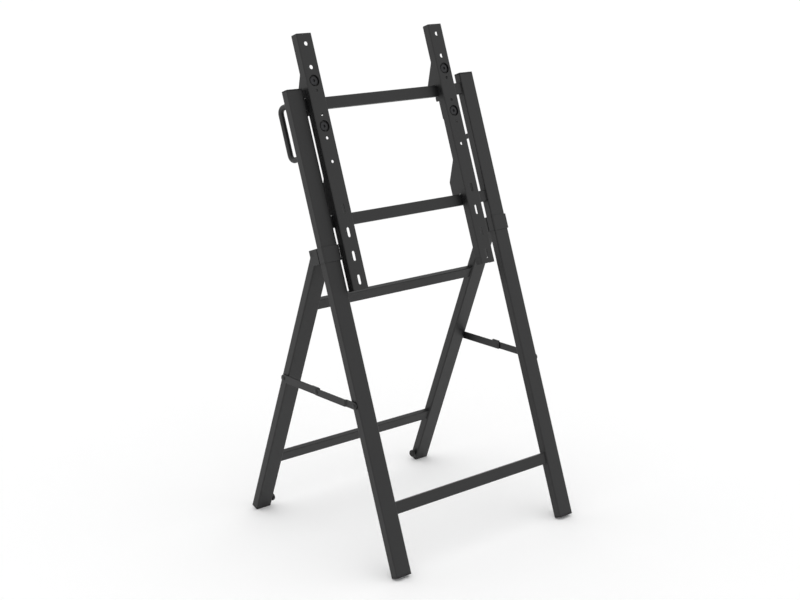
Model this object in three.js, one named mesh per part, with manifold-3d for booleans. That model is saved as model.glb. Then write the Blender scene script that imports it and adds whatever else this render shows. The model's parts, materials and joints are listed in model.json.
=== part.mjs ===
// Folding floor stand for a flat display: two A-frame sides, cross rails, and two mounting
// arms that slide along the upper rails. Millimetres, +Z up, -Y is the side the display is on.
// The origin is on the floor, at the middle of the footprint.
import * as THREE from 'three';
import * as BufferGeometryUtils from 'three/addons/utils/BufferGeometryUtils.js';
import Module from 'manifold-3d';

const wasm = await Module();
wasm.setup();

// ---- driving dimensions ----
const FRONT_LEAN = THREE.MathUtils.degToRad(19.8); // posts lean back by this much
const OUTER_HALF = 261; // half the stand's width over the posts and the legs
const FOOT_SPREAD = 476; // floor distance between the post and leg edges that stand on it
const GAP = 0.3; // clearance between pieces that touch

const TUBE = { width: 40, depth: 20, corner: 3, wall: 1.5 };
const RAIL = { width: 25, depth: 12, corner: 1.5, wall: 1.5 };
const POST_LENGTH = 1026;
const POST_X = OUTER_HALF - TUBE.width / 2;
const INNER_HALF = OUTER_HALF - TUBE.width;
const PLUG = { head: 2.5, stem: 8, stem_corner: 1, slack: 0.4 };

const RAIL_HEIGHTS = { top_rail: 991.5, middle_rail: 743.5, bottom_rail: 137.5 };
const REAR_BAR_HEIGHTS = { rear_top_bar: 551, rear_bottom_bar: 138 };

const PIVOT = { up: 685.7, back: 14, pin: 4, pin_chamfer: 0.6, bush: 6, bush_short: 0.1 };
const COLLAR = { low: 662.5, high: 695.5, strap: 2, side_end: -3 };
const CLEVIS = { cheek: 2.5, web: 2, front: -1.8, back: 25 };

const HANDLE = { rod: 6, reach: 44.2, top: 999, length: 112, bend: 13, steps: 34 };

const ARM = {
  half: 19.5, front: -35, depth: 18.7, plate: 1.8, corner: 2.5, low: 593.5, high: 1137,
  hole_top: 1115, pitch: 50,
};
const ARM_PLACES = { left: -196.8, right: 166 }; // where along the rails each arm is clamped
const ARM_HOLES = [[0, 4.5], [1, 4.5], [2, 3.25], [3, 3.25], [4, 3.25], [5, 3.25]]; // step, radius
const ARM_SLOTS = [7, 8, 9, 10]; // steps of the pitch that carry a vertical slot
const SLOT = { radius: 3.5, length: 21 };
const WING = { reach: 27.2, taper: 46, root: 5, past_middle: 6.5 }; // a flange's hook over a rail
const WING_TOPS = { top_rail: 1054.7, middle_rail: 833.8 };
const LIP = { height: 10.5, reach: 10.8 }; // a flange's lip under the top rail
const RAIL_SLACK = 0.5;

const CUP = { radius: 13.5, bore: 12.2, base: -28.2, floor: 1.8, hole: 4.3 };
const CUP_HEIGHTS = { upper: 1036.5, lower: 940 };
const SCREW = {
  head: 9.5, head_height: 3.2, rim: 0.8, shank: 3.7, hex: 3.4, socket: 2.4, tip: 1.6,
};
const BAR = { half: 7, thick: 3, reach: 61, hole: 4, corner: 4 };

const BRACE_HEIGHT = 345.5; // the open brace lies level at this height
const MID_Y = 237.5; // middle joint of the open brace, behind the posts' floor line
const LINK = { thick: 2.5, rear_half: 8.5, front_half: 7.75, stand_off: 0.8, joggle: 28 };
const RIVET = { shank: 3, head: 4.5, mid_head: 5.5, head_height: 1.8, tail: 3.5, clear: 0.1 };
const TAB = { ahead: 6.5, behind: 14.5, thick: 2.2 };

const BUMPER = {
  up: 15.5, neck: 4, neck_length: 4, head: 8.5, head_length: 6, round: 1.5, well: 4.8, well_depth: 2.5,
};
const STUD_SCREW = { shank: 3, head: 4.4, below_rim: 0.4, tail: 3.5 }; // holds the bumper to the leg
const TAB_ROOT = 0.8; // how far the stop tab reaches down into its link
const CUT = 1; // how far a cutting tool runs past the face it opens

// ---- materials ----
const STEEL = { color: 0x3c3c3e, roughness: 0.55, metalness: 0.2 };
const PLASTIC = { color: 0x1f1f21, roughness: 0.6, metalness: 0 };
const RUBBER = { color: 0x242425, roughness: 0.8, metalness: 0 };
const ZINC = { color: 0x55565a, roughness: 0.4, metalness: 0.8 };

// ---- the fold: the leg's middle line passes through the pivot, and its lean follows ----
const PIVOT_Y = PIVOT.up * Math.sin(FRONT_LEAN) + PIVOT.back * Math.cos(FRONT_LEAN);
const PIVOT_Z = PIVOT.up * Math.cos(FRONT_LEAN) - PIVOT.back * Math.sin(FRONT_LEAN);
const LEG_DIAGONAL = Math.hypot(FOOT_SPREAD - PIVOT_Y, PIVOT_Z);
const LEG_TO_PIVOT = Math.sqrt(LEG_DIAGONAL ** 2 - (TUBE.depth / 2) ** 2);
const LEG_SLANT = Math.atan2(FOOT_SPREAD - PIVOT_Y, PIVOT_Z);
const REAR_LEAN = LEG_SLANT + Math.asin(TUBE.depth / 2 / LEG_DIAGONAL);

// ---- placing: posts, rails and arms in one leaning group, the rear frame in another ----
const footprintFront = -TUBE.depth * Math.cos(FRONT_LEAN);
const footprintBack = FOOT_SPREAD + TUBE.depth * Math.cos(REAR_LEAN);
const FRONT_FOOT_Y = -(footprintFront + footprintBack) / 2;
const REAR_FOOT_Y = FRONT_FOOT_Y + FOOT_SPREAD;

const stand = new THREE.Group();
const frontFrame = new THREE.Group(); // here z runs up the posts and y = 0 is their back face
frontFrame.position.y = FRONT_FOOT_Y;
frontFrame.rotation.x = -FRONT_LEAN;
stand.add(frontFrame);
const rearFrame = new THREE.Group(); // here z runs up the legs and y = 0 is their front face
rearFrame.position.y = REAR_FOOT_Y;
rearFrame.rotation.x = REAR_LEAN;
stand.add(rearFrame);
const bracePlace = new THREE.Group(); // level, with y counted from the posts' floor line
bracePlace.position.set(0, FRONT_FOOT_Y, BRACE_HEIGHT);
stand.add(bracePlace);

// ---- solids ----
function toSolid(geometry) {
  const bare = geometry.index ? geometry.toNonIndexed() : geometry.clone();
  bare.deleteAttribute('normal');
  bare.deleteAttribute('uv');
  const merged = BufferGeometryUtils.mergeVertices(bare, 1e-4);
  const vertProperties = new Float32Array(merged.attributes.position.array);
  const triVerts = new Uint32Array(merged.index.array);
  return new wasm.Manifold(new wasm.Mesh({ numProp: 3, vertProperties, triVerts }));
}

function toGeometry(solid) {
  const mesh = solid.getMesh();
  const geometry = new THREE.BufferGeometry();
  geometry.setAttribute('position', new THREE.BufferAttribute(mesh.vertProperties, 3));
  geometry.setIndex(new THREE.BufferAttribute(mesh.triVerts, 1));
  geometry.computeVertexNormals();
  return geometry;
}

function cut(geometry, ...tools) {
  let solid = toSolid(geometry);
  for (const tool of tools) {
    solid = solid.subtract(toSolid(tool));
  }
  return toGeometry(solid);
}

function join(geometry, ...others) {
  let solid = toSolid(geometry);
  for (const other of others) {
    solid = solid.add(toSolid(other));
  }
  return toGeometry(solid);
}

function keepInside(geometry, envelope) {
  return toGeometry(toSolid(geometry).intersect(toSolid(envelope)));
}

// ---- outlines ----
function roundedRect(width, height, radius, centreX = 0, centreY = 0) {
  const shape = new THREE.Shape();
  const x = width / 2 - radius;
  const y = height / 2 - radius;
  shape.absarc(centreX + x, centreY + y, radius, 0, Math.PI / 2);
  shape.absarc(centreX - x, centreY + y, radius, Math.PI / 2, Math.PI);
  shape.absarc(centreX - x, centreY - y, radius, Math.PI, Math.PI * 1.5);
  shape.absarc(centreX + x, centreY - y, radius, Math.PI * 1.5, Math.PI * 2);
  shape.closePath();
  return shape;
}

function hollowRect(section) {
  const shape = roundedRect(section.width, section.depth, section.corner);
  const inside = section.wall * 2;
  const bore = roundedRect(section.width - inside, section.depth - inside, section.corner / 2);
  shape.holes.push(bore);
  return shape;
}

function polygon(points) {
  return new THREE.Shape(points.map(([x, y]) => new THREE.Vector2(x, y)));
}

// A slot's outline: two half circles joined by straight sides, long in the second direction.
function slotOutline(x, y, radius, length) {
  const shape = new THREE.Shape();
  const half = length / 2 - radius;
  shape.absarc(x, y + half, radius, 0, Math.PI);
  shape.absarc(x, y - half, radius, Math.PI, Math.PI * 2);
  shape.closePath();
  return shape;
}

// ---- extrusions: upward, sideways from one x to another, and from front to back ----
function extrude(shape, depth, segments) {
  const options = { depth, bevelEnabled: false, curveSegments: segments };
  return new THREE.ExtrudeGeometry(shape, options);
}

function upward(shape, low, high, segments = 3) {
  return extrude(shape, high - low, segments).translate(0, 0, low);
}

function sideways(shape, from, to, segments = 6) {
  const low = Math.min(from, to);
  const geometry = extrude(shape, Math.abs(to - from), segments);
  const turn = new THREE.Matrix4().makeBasis(
    new THREE.Vector3(0, 1, 0),
    new THREE.Vector3(0, 0, 1),
    new THREE.Vector3(1, 0, 0),
  );
  return geometry.applyMatrix4(turn).translate(low, 0, 0);
}

function frontToBack(shape, front, back, segments = 4) {
  const geometry = extrude(shape, back - front, segments);
  const turn = new THREE.Matrix4().makeBasis(
    new THREE.Vector3(1, 0, 0),
    new THREE.Vector3(0, 0, 1),
    new THREE.Vector3(0, -1, 0),
  );
  return geometry.applyMatrix4(turn).translate(0, back, 0);
}

// A turned piece on an axis through (y, z) along x: the profile is [radius, x] pairs.
function turned(profile, y, z, segments = 12) {
  const points = profile.map(([radius, x]) => new THREE.Vector2(radius, x));
  const geometry = new THREE.LatheGeometry(points, segments);
  return geometry.rotateZ(-Math.PI / 2).translate(0, y, z);
}

function disc(radius, from, to, y, z, segments = 12) {
  const low = Math.min(from, to);
  const high = Math.max(from, to);
  return turned([[0, low], [radius, low], [radius, high], [0, high]], y, z, segments);
}

// The same, on an axis through (x, z) that runs from front to back.
function frontDisc(radius, front, back, x, z, segments = 12) {
  const profile = [[0, front], [radius, front], [radius, back], [0, back]];
  const points = profile.map(([r, y]) => new THREE.Vector2(r, y));
  return new THREE.LatheGeometry(points, segments).translate(x, 0, z);
}

// ---- naming ----
function add(group, name, geometry, finish) {
  const mesh = new THREE.Mesh(geometry, new THREE.MeshStandardMaterial(finish));
  mesh.name = name;
  group.add(mesh);
}

const SIDES = [['left', -1], ['right', 1]];

// ---- front frame ----
function tube(x, low, high) {
  return upward(hollowRect(TUBE), low, high).translate(x, -TUBE.depth / 2, 0);
}

// A moulded plug: a head as wide as the tube and a stem inside it. It points up or down.
function endPlug(x, y, end, direction) {
  const inside = TUBE.wall * 2 + PLUG.slack * 2;
  const head = roundedRect(TUBE.width, TUBE.depth, TUBE.corner, x, y);
  const stem = roundedRect(TUBE.width - inside, TUBE.depth - inside, PLUG.stem_corner, x, y);
  const headInner = end - direction * PLUG.head;
  const stemEnd = headInner - direction * PLUG.stem;
  const top = upward(head, Math.min(end, headInner), Math.max(end, headInner));
  const overlap = headInner + direction;
  const shaft = upward(stem, Math.min(stemEnd, overlap), Math.max(stemEnd, overlap));
  return join(top, shaft);
}

function addPosts() {
  const plugged = PLUG.head + GAP;
  for (const [side, sign] of SIDES) {
    const x = sign * POST_X;
    add(frontFrame, `${side}_post`, tube(x, plugged, POST_LENGTH - plugged), STEEL);
    const middle = -TUBE.depth / 2;
    add(frontFrame, `${side}_post_cap`, endPlug(x, middle, POST_LENGTH, 1), PLASTIC);
    add(frontFrame, `${side}_post_foot`, endPlug(x, middle, 0, -1), PLASTIC);
  }
}

function crossTube(height, y) {
  const reach = INNER_HALF - GAP;
  const section = { width: RAIL.depth, depth: RAIL.width, corner: RAIL.corner, wall: RAIL.wall };
  return sideways(hollowRect(section), -reach, reach, 3).translate(0, y, height);
}

function addRails() {
  for (const [name, height] of Object.entries(RAIL_HEIGHTS)) {
    add(frontFrame, name, crossTube(height, -TUBE.depth / 2), STEEL);
  }
}

// A strap bent round the front and both sides of the post.
function collar(x) {
  const inner = TUBE.width / 2 + GAP;
  const outer = inner + COLLAR.strap;
  const front = -TUBE.depth - GAP;
  const bend = COLLAR.strap;
  const shape = new THREE.Shape();
  shape.moveTo(x - outer, COLLAR.side_end);
  shape.lineTo(x - inner, COLLAR.side_end);
  shape.lineTo(x - inner, front);
  shape.lineTo(x + inner, front);
  shape.lineTo(x + inner, COLLAR.side_end);
  shape.lineTo(x + outer, COLLAR.side_end);
  shape.lineTo(x + outer, front);
  shape.absarc(x + inner, front, bend, 0, -Math.PI / 2, true);
  shape.lineTo(x - inner, front - bend);
  shape.absarc(x - inner, front, bend, -Math.PI / 2, -Math.PI, true);
  shape.closePath();
  return upward(shape, COLLAR.low, COLLAR.high);
}

// A bracket with a web on the post's back and a cheek on each side of the leg.
function clevis(x) {
  const inner = TUBE.width / 2 + GAP;
  const outer = inner + CLEVIS.cheek;
  const shape = polygon([
    [x - outer, CLEVIS.front], [x - inner, CLEVIS.front], [x - inner, GAP], [x + inner, GAP],
    [x + inner, CLEVIS.front], [x + outer, CLEVIS.front], [x + outer, CLEVIS.back],
    [x + inner, CLEVIS.back], [x + inner, GAP + CLEVIS.web], [x - inner, GAP + CLEVIS.web],
    [x - inner, CLEVIS.back], [x - outer, CLEVIS.back],
  ]);
  const hole = disc(PIVOT.pin + GAP, x - outer - CUT, x + outer + CUT, PIVOT.back, PIVOT.up);
  return cut(upward(shape, COLLAR.low, COLLAR.high), hole);
}

function pivotPin(x) {
  const end = TUBE.width / 2 + GAP + CLEVIS.cheek;
  const chamfer = PIVOT.pin_chamfer;
  const profile = [
    [0, x - end], [PIVOT.pin - chamfer, x - end], [PIVOT.pin, x - end + chamfer],
    [PIVOT.pin, x + end - chamfer], [PIVOT.pin - chamfer, x + end], [0, x + end],
  ];
  return turned(profile, PIVOT.back, PIVOT.up);
}

// Bent rod: out from the post's back, a quarter bend, down the grip, and back in.
function handle(x) {
  const low = HANDLE.top - HANDLE.length;
  const straight = HANDLE.reach - HANDLE.bend;
  const at = (y, z) => new THREE.Vector3(x, y, z);
  const path = new THREE.CurvePath();
  path.add(new THREE.LineCurve3(at(GAP, HANDLE.top), at(straight, HANDLE.top)));
  path.add(quarterBend(x, straight, HANDLE.top - HANDLE.bend, Math.PI / 2, 0));
  path.add(new THREE.LineCurve3(
    at(HANDLE.reach, HANDLE.top - HANDLE.bend),
    at(HANDLE.reach, low + HANDLE.bend),
  ));
  path.add(quarterBend(x, straight, low + HANDLE.bend, 0, -Math.PI / 2));
  path.add(new THREE.LineCurve3(at(straight, low), at(GAP, low)));
  return sweepRod(path);
}

// A quarter circle in the plane of constant x, between two angles about (y, z).
function quarterBend(x, y, z, from, to) {
  const curve = new THREE.Curve();
  curve.getPoint = (t) => {
    const angle = from + (to - from) * t;
    const dy = HANDLE.bend * Math.cos(angle);
    const dz = HANDLE.bend * Math.sin(angle);
    return new THREE.Vector3(x, y + dy, z + dz);
  };
  return curve;
}

function sweepRod(path) {
  const section = new THREE.Shape();
  section.absarc(0, 0, HANDLE.rod, 0, Math.PI * 2);
  const options = {
    steps: HANDLE.steps, extrudePath: path, curveSegments: 6, bevelEnabled: false,
  };
  return new THREE.ExtrudeGeometry(section, options);
}

function addHinges() {
  for (const [side, sign] of SIDES) {
    const x = sign * POST_X;
    add(frontFrame, `${side}_collar`, collar(x), STEEL);
    add(frontFrame, `${side}_clevis`, clevis(x), STEEL);
    add(frontFrame, `${side}_pivot_pin`, pivotPin(x), ZINC);
    add(frontFrame, `${side}_handle`, handle(x), STEEL);
  }
}

// ---- arms ----
function channelOutline(x) {
  const { half, plate, corner, front } = ARM;
  const back = front + ARM.depth;
  const inner = corner - plate;
  const turn = front + corner;
  const shape = new THREE.Shape();
  shape.moveTo(x + half, back);
  shape.lineTo(x + half - plate, back);
  shape.absarc(x + half - corner, turn, inner, 0, -Math.PI / 2, true);
  shape.absarc(x - half + corner, turn, inner, -Math.PI / 2, -Math.PI, true);
  shape.lineTo(x - half + plate, back);
  shape.lineTo(x - half, back);
  shape.absarc(x - half + corner, turn, corner, -Math.PI, -Math.PI / 2);
  shape.absarc(x + half - corner, turn, corner, -Math.PI / 2, 0);
  shape.closePath();
  return shape;
}

// One flange's hook: tapered above, it reaches over a rail and down behind it.
function hook(x, rail) {
  const edge = ARM.front + ARM.depth;
  const root = edge - WING.root;
  const tip = edge + WING.reach;
  const slot = -TUBE.depth / 2 + RAIL.depth / 2 + RAIL_SLACK;
  const above = RAIL_HEIGHTS[rail] + RAIL.width / 2 + RAIL_SLACK;
  const below = RAIL_HEIGHTS[rail] - WING.past_middle;
  const top = WING_TOPS[rail];
  const shape = polygon([
    [root, top - WING.root], [edge, top], [tip, top - WING.taper], [tip, below], [slot, below],
    [slot, above], [root, above],
  ]);
  return sideways(shape, x - ARM.plate / 2, x + ARM.plate / 2);
}

function lip(x) {
  const edge = ARM.front + ARM.depth;
  const top = RAIL_HEIGHTS.top_rail - RAIL.width / 2 - RAIL_SLACK;
  const low = top - LIP.height;
  const shape = polygon([
    [edge - WING.root, low], [edge + LIP.reach, low], [edge + LIP.reach, top], [edge - WING.root, top],
  ]);
  return sideways(shape, x - ARM.plate / 2, x + ARM.plate / 2);
}

function boltOpenings(x) {
  const tools = [];
  const front = ARM.front - CUT;
  const back = ARM.front + ARM.plate + CUT;
  for (const [step, radius] of ARM_HOLES) {
    const z = ARM.hole_top - step * ARM.pitch;
    tools.push(frontDisc(radius, front, back, x, z));
  }
  for (const step of ARM_SLOTS) {
    const z = ARM.hole_top - step * ARM.pitch;
    tools.push(frontToBack(slotOutline(x, z, SLOT.radius, SLOT.length), front, back));
  }
  return tools;
}

// The folded channel with its hooks and lips, and a pressed cup round each clamp screw.
function arm(x) {
  const flangeX = ARM.half - ARM.plate / 2;
  const parts = [];
  for (const plateX of [x - flangeX, x + flangeX]) {
    parts.push(hook(plateX, 'top_rail'), hook(plateX, 'middle_rail'), lip(plateX));
  }
  const bores = [];
  for (const z of Object.values(CUP_HEIGHTS)) {
    parts.push(frontDisc(CUP.radius, ARM.front + ARM.plate / 2, CUP.base, x, z, 20));
    bores.push(frontDisc(CUP.bore, ARM.front - CUT, CUP.base - CUP.floor, x, z, 20));
    bores.push(frontDisc(CUP.hole, ARM.front - CUT, CUP.base + CUT, x, z));
  }
  const blank = join(upward(channelOutline(x), ARM.low, ARM.high), ...parts);
  return cut(blank, ...bores, ...boltOpenings(x));
}

// Low round head with a hexagonal socket, on a plain shank.
function clampScrew(x, z) {
  const seat = CUP.base - CUP.floor - GAP;
  const top = seat - SCREW.head_height;
  const profile = [
    [0, top], [SCREW.head - SCREW.rim, top], [SCREW.head, top + SCREW.rim], [SCREW.head, seat],
    [SCREW.shank, seat], [SCREW.shank, SCREW.tip], [0, SCREW.tip],
  ];
  const points = profile.map(([r, y]) => new THREE.Vector2(r, y));
  const blank = new THREE.LatheGeometry(points, 18).translate(x, 0, z);
  return cut(blank, frontDisc(SCREW.hex, top - CUT, top + SCREW.socket, x, z, 6));
}

// A flat bar behind the top rail, with one hole for each clamp screw.
function clampBar(x) {
  const front = -TUBE.depth / 2 + RAIL.depth / 2 + RAIL_SLACK;
  const back = front + BAR.thick;
  const middle = (CUP_HEIGHTS.upper + CUP_HEIGHTS.lower) / 2;
  const shape = roundedRect(BAR.half * 2, BAR.reach * 2, BAR.corner, x, middle);
  const holes = [];
  for (const z of Object.values(CUP_HEIGHTS)) {
    holes.push(frontDisc(BAR.hole, front - CUT, back + CUT, x, z));
  }
  return cut(frontToBack(shape, front, back), ...holes);
}

function addArms() {
  for (const [side, x] of Object.entries(ARM_PLACES)) {
    add(frontFrame, `${side}_arm`, arm(x), STEEL);
    add(frontFrame, `${side}_upper_clamp_screw`, clampScrew(x, CUP_HEIGHTS.upper), ZINC);
    add(frontFrame, `${side}_lower_clamp_screw`, clampScrew(x, CUP_HEIGHTS.lower), ZINC);
    add(frontFrame, `${side}_clamp_bar`, clampBar(x), STEEL);
  }
}

// ---- rear frame ----
const LEG_PIN_UP = (BRACE_HEIGHT - (TUBE.depth / 2) * Math.sin(REAR_LEAN)) / Math.cos(REAR_LEAN);

// Square tube with its top rounded about the pivot, and holes for the bush, rivet and screw.
function leg(sign) {
  const x = sign * POST_X;
  const middle = TUBE.depth / 2;
  const blank = upward(hollowRect(TUBE), PLUG.head + GAP, LEG_TO_PIVOT + middle);
  blank.translate(x, middle, 0);
  const envelope = new THREE.Shape();
  envelope.moveTo(0, 0);
  envelope.lineTo(TUBE.depth, 0);
  envelope.absarc(middle, LEG_TO_PIVOT, middle, 0, Math.PI);
  envelope.closePath();
  const half = TUBE.width / 2 + CUT;
  const through = TUBE.wall + CUT;
  const rounded = keepInside(blank, sideways(envelope, x - half, x + half, 8));
  const bush = disc(PIVOT.bush + GAP, x - half, x + half, middle, LEG_TO_PIVOT);
  const outer = sign * OUTER_HALF;
  const rivet = disc(
    RIVET.shank + GAP, outer + sign * CUT, outer - sign * through, middle, LEG_PIN_UP,
  );
  const inner = sign * INNER_HALF;
  const screw = disc(
    STUD_SCREW.shank + GAP, inner - sign * CUT, inner + sign * through, middle, BUMPER.up,
  );
  return cut(rounded, bush, rivet, screw);
}

function pivotBush(x) {
  const shape = new THREE.Shape();
  shape.absarc(0, 0, PIVOT.bush, 0, Math.PI * 2);
  const bore = new THREE.Path();
  bore.absarc(0, 0, PIVOT.pin + GAP, 0, Math.PI * 2);
  shape.holes.push(bore);
  const half = TUBE.width / 2 - PIVOT.bush_short;
  return sideways(shape, x - half, x + half).translate(0, TUBE.depth / 2, LEG_TO_PIVOT);
}

// Rubber stud on the inner face: a neck, then a wider rounded head with a screw well.
function bumper(sign) {
  const face = sign * (INNER_HALF - GAP);
  const neckEnd = face - sign * BUMPER.neck_length;
  const end = neckEnd - sign * BUMPER.head_length;
  const well = end + sign * BUMPER.well_depth;
  const bore = STUD_SCREW.shank + GAP;
  const profile = [
    [bore, face], [BUMPER.neck, face], [BUMPER.neck, neckEnd], [BUMPER.head, neckEnd],
    [BUMPER.head, end + sign * BUMPER.round], [BUMPER.head - BUMPER.round, end],
    [BUMPER.well, end], [BUMPER.well, well], [bore, well], [bore, face],
  ];
  if (sign > 0) {
    profile.reverse();
  }
  return turned(profile, TUBE.depth / 2, BUMPER.up, 14);
}

function bumperScrew(sign) {
  const face = sign * (INNER_HALF - GAP);
  const end = face - sign * (BUMPER.neck_length + BUMPER.head_length);
  const seat = end + sign * (BUMPER.well_depth - GAP);
  const top = end + sign * STUD_SCREW.below_rim;
  const tip = sign * (INNER_HALF + STUD_SCREW.tail);
  const { head, shank } = STUD_SCREW;
  const profile = [[0, top], [head, top], [head, seat], [shank, seat], [shank, tip], [0, tip]];
  if (sign < 0) {
    profile.reverse();
  }
  return turned(profile, TUBE.depth / 2, BUMPER.up);
}

function addRearFrame() {
  for (const [side, sign] of SIDES) {
    const x = sign * POST_X;
    add(rearFrame, `${side}_leg`, leg(sign), STEEL);
    add(rearFrame, `${side}_leg_foot`, endPlug(x, TUBE.depth / 2, 0, -1), PLASTIC);
    add(rearFrame, `${side}_pivot_bush`, pivotBush(x), PLASTIC);
    add(rearFrame, `${side}_leg_bumper`, bumper(sign), RUBBER);
    add(rearFrame, `${side}_bumper_screw`, bumperScrew(sign), ZINC);
  }
  for (const [name, height] of Object.entries(REAR_BAR_HEIGHTS)) {
    add(rearFrame, name, crossTube(height, TUBE.depth / 2), STEEL);
  }
}

// ---- braces: flat links outside the posts and legs, level when open ----
const MID_TUBE = TUBE.depth / 2;
const LEG_PIN_Y = FOOT_SPREAD - LEG_PIN_UP * Math.sin(REAR_LEAN) + MID_TUBE * Math.cos(REAR_LEAN);
const POST_PIN_UP = (BRACE_HEIGHT - MID_TUBE * Math.sin(FRONT_LEAN)) / Math.cos(FRONT_LEAN);
const POST_PIN_Y = POST_PIN_UP * Math.sin(FRONT_LEAN) - MID_TUBE * Math.cos(FRONT_LEAN);
const LINK_IN = OUTER_HALF + LINK.stand_off; // inner face of the layer against the tubes
const LINK_OUT = LINK_IN + LINK.thick + GAP; // inner face of the outer layer

function rivetHole(y) {
  return disc(RIVET.shank + GAP, -OUTER_HALF * 2, OUTER_HALF * 2, y, 0);
}

// Inner link: round at the leg, square past the middle joint, with a stop tab over the top.
function rearLink(sign) {
  const half = LINK.rear_half;
  const nose = MID_Y - half;
  const shape = new THREE.Shape();
  shape.moveTo(nose, half);
  shape.lineTo(nose, -half);
  shape.absarc(LEG_PIN_Y, 0, half, -Math.PI / 2, Math.PI / 2);
  shape.closePath();
  const plate = sideways(shape, sign * LINK_IN, sign * (LINK_IN + LINK.thick), 6);
  const root = half - TAB_ROOT;
  const top = half + TAB.thick;
  const ahead = MID_Y - TAB.ahead;
  const behind = MID_Y + TAB.behind;
  const tabShape = polygon([[ahead, half], [behind, half], [behind, top], [ahead, top]]);
  const rootShape = polygon([[ahead, root], [behind, root], [behind, top], [ahead, top]]);
  const tab = sideways(tabShape, sign * LINK_IN, sign * (LINK_OUT + LINK.thick));
  const tabRoot = sideways(rootShape, sign * LINK_IN, sign * (LINK_IN + LINK.thick));
  return cut(join(plate, tabRoot, tab), rivetHole(LEG_PIN_Y), rivetHole(MID_Y));
}

// Outer link: rides over the inner one at the middle and steps in to the post near its end.
function frontLink(sign) {
  const half = LINK.front_half;
  const step = POST_PIN_Y + LINK.joggle;
  const bend = LINK.thick;
  const inner = LINK_IN;
  const outer = LINK_OUT;
  const plan = polygon([
    [sign * inner, POST_PIN_Y - half], [sign * (inner + LINK.thick), POST_PIN_Y - half],
    [sign * (inner + LINK.thick), step - bend], [sign * (outer + LINK.thick), step],
    [sign * (outer + LINK.thick), MID_Y + half], [sign * outer, MID_Y + half],
    [sign * outer, step + bend / 2], [sign * inner, step - bend / 2],
  ]);
  const bar = upward(plan, -half, half);
  const outline = new THREE.Shape();
  outline.absarc(MID_Y, 0, half, -Math.PI / 2, Math.PI / 2);
  outline.absarc(POST_PIN_Y, 0, half, Math.PI / 2, Math.PI * 1.5);
  outline.closePath();
  const far = outer + LINK.thick + CUT;
  const envelope = sideways(outline, sign * (inner - CUT), sign * far, 6);
  return cut(keepInside(bar, envelope), rivetHole(POST_PIN_Y), rivetHole(MID_Y));
}

// A rivet from one x to another, domed head outwards.
function rivet(sign, from, seat, head, y, z) {
  const top = seat + RIVET.head_height;
  const profile = [
    [0, sign * from], [RIVET.shank, sign * from], [RIVET.shank, sign * seat], [head, sign * seat],
    [head, sign * (seat + RIVET.head_height * 0.4)], [head * 0.6, sign * top], [0, sign * top],
  ];
  if (sign < 0) {
    profile.reverse();
  }
  return turned(profile, y, z);
}

function addBraces() {
  const innerSeat = LINK_IN + LINK.thick + GAP;
  const outerSeat = LINK_OUT + LINK.thick + GAP;
  for (const [side, sign] of SIDES) {
    add(bracePlace, `${side}_rear_link`, rearLink(sign), STEEL);
    add(bracePlace, `${side}_front_link`, frontLink(sign), STEEL);
    const inside = OUTER_HALF - RIVET.tail;
    const under = LINK_IN + RIVET.clear;
    const legRivet = rivet(sign, inside, innerSeat, RIVET.head, LEG_PIN_Y, 0);
    add(bracePlace, `${side}_leg_rivet`, legRivet, STEEL);
    const midRivet = rivet(sign, under, outerSeat, RIVET.mid_head, MID_Y, 0);
    add(bracePlace, `${side}_mid_rivet`, midRivet, STEEL);
    const postRivet = rivet(sign, under, innerSeat, RIVET.head, POST_PIN_Y, 0);
    add(bracePlace, `${side}_post_rivet`, postRivet, STEEL);
  }
}

addPosts();
addRails();
addHinges();
addArms();
addRearFrame();
addBraces();

export default stand;
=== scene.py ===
"""Folding floor stand for a flat display: powder-coated steel tube, folded sheet arms, plastic plugs.

Lengths inside the functions are millimetres in the frame that each function names; place() turns
them into metres in the row's frame. "Up" runs along a post or a leg, "back" away from the display.
"""

import json
import math

import bmesh
import bpy
from mathutils import Matrix, Vector


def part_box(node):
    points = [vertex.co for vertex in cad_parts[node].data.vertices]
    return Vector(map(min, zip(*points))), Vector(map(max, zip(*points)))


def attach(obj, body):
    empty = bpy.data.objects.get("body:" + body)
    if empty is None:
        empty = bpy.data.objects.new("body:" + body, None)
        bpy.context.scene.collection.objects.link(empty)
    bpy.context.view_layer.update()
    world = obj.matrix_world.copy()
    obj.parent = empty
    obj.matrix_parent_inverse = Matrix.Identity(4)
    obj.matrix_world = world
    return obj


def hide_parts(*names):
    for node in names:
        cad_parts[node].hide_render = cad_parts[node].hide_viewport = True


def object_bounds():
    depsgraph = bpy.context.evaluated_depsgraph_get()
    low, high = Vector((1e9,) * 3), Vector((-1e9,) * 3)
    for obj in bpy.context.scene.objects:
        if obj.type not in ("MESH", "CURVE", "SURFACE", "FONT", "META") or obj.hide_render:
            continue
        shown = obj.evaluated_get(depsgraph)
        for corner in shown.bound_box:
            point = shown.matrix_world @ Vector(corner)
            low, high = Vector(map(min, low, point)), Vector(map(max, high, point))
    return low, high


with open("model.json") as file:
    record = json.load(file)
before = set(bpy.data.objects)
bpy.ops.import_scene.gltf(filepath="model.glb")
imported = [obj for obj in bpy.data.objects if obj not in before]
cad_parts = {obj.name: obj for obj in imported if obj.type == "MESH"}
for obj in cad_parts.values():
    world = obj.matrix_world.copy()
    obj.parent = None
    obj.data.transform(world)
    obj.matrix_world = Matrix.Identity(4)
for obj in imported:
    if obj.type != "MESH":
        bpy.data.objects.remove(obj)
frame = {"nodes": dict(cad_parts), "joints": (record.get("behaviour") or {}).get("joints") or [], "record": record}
nodes = frame["nodes"]
CAD_BOX = [list(corner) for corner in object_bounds()]

MM = 0.001

# ---------------------------------------------------------------- camera, first of all
AIM = Vector((0.0016, 0.0404, 0.4909))
AZIMUTH = math.radians(40.613)  # to the left of the stand's front
ELEVATION = math.radians(15.004)
ROLL = math.radians(0.03)
DISTANCE = 3.3
LENS = 67.01


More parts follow.
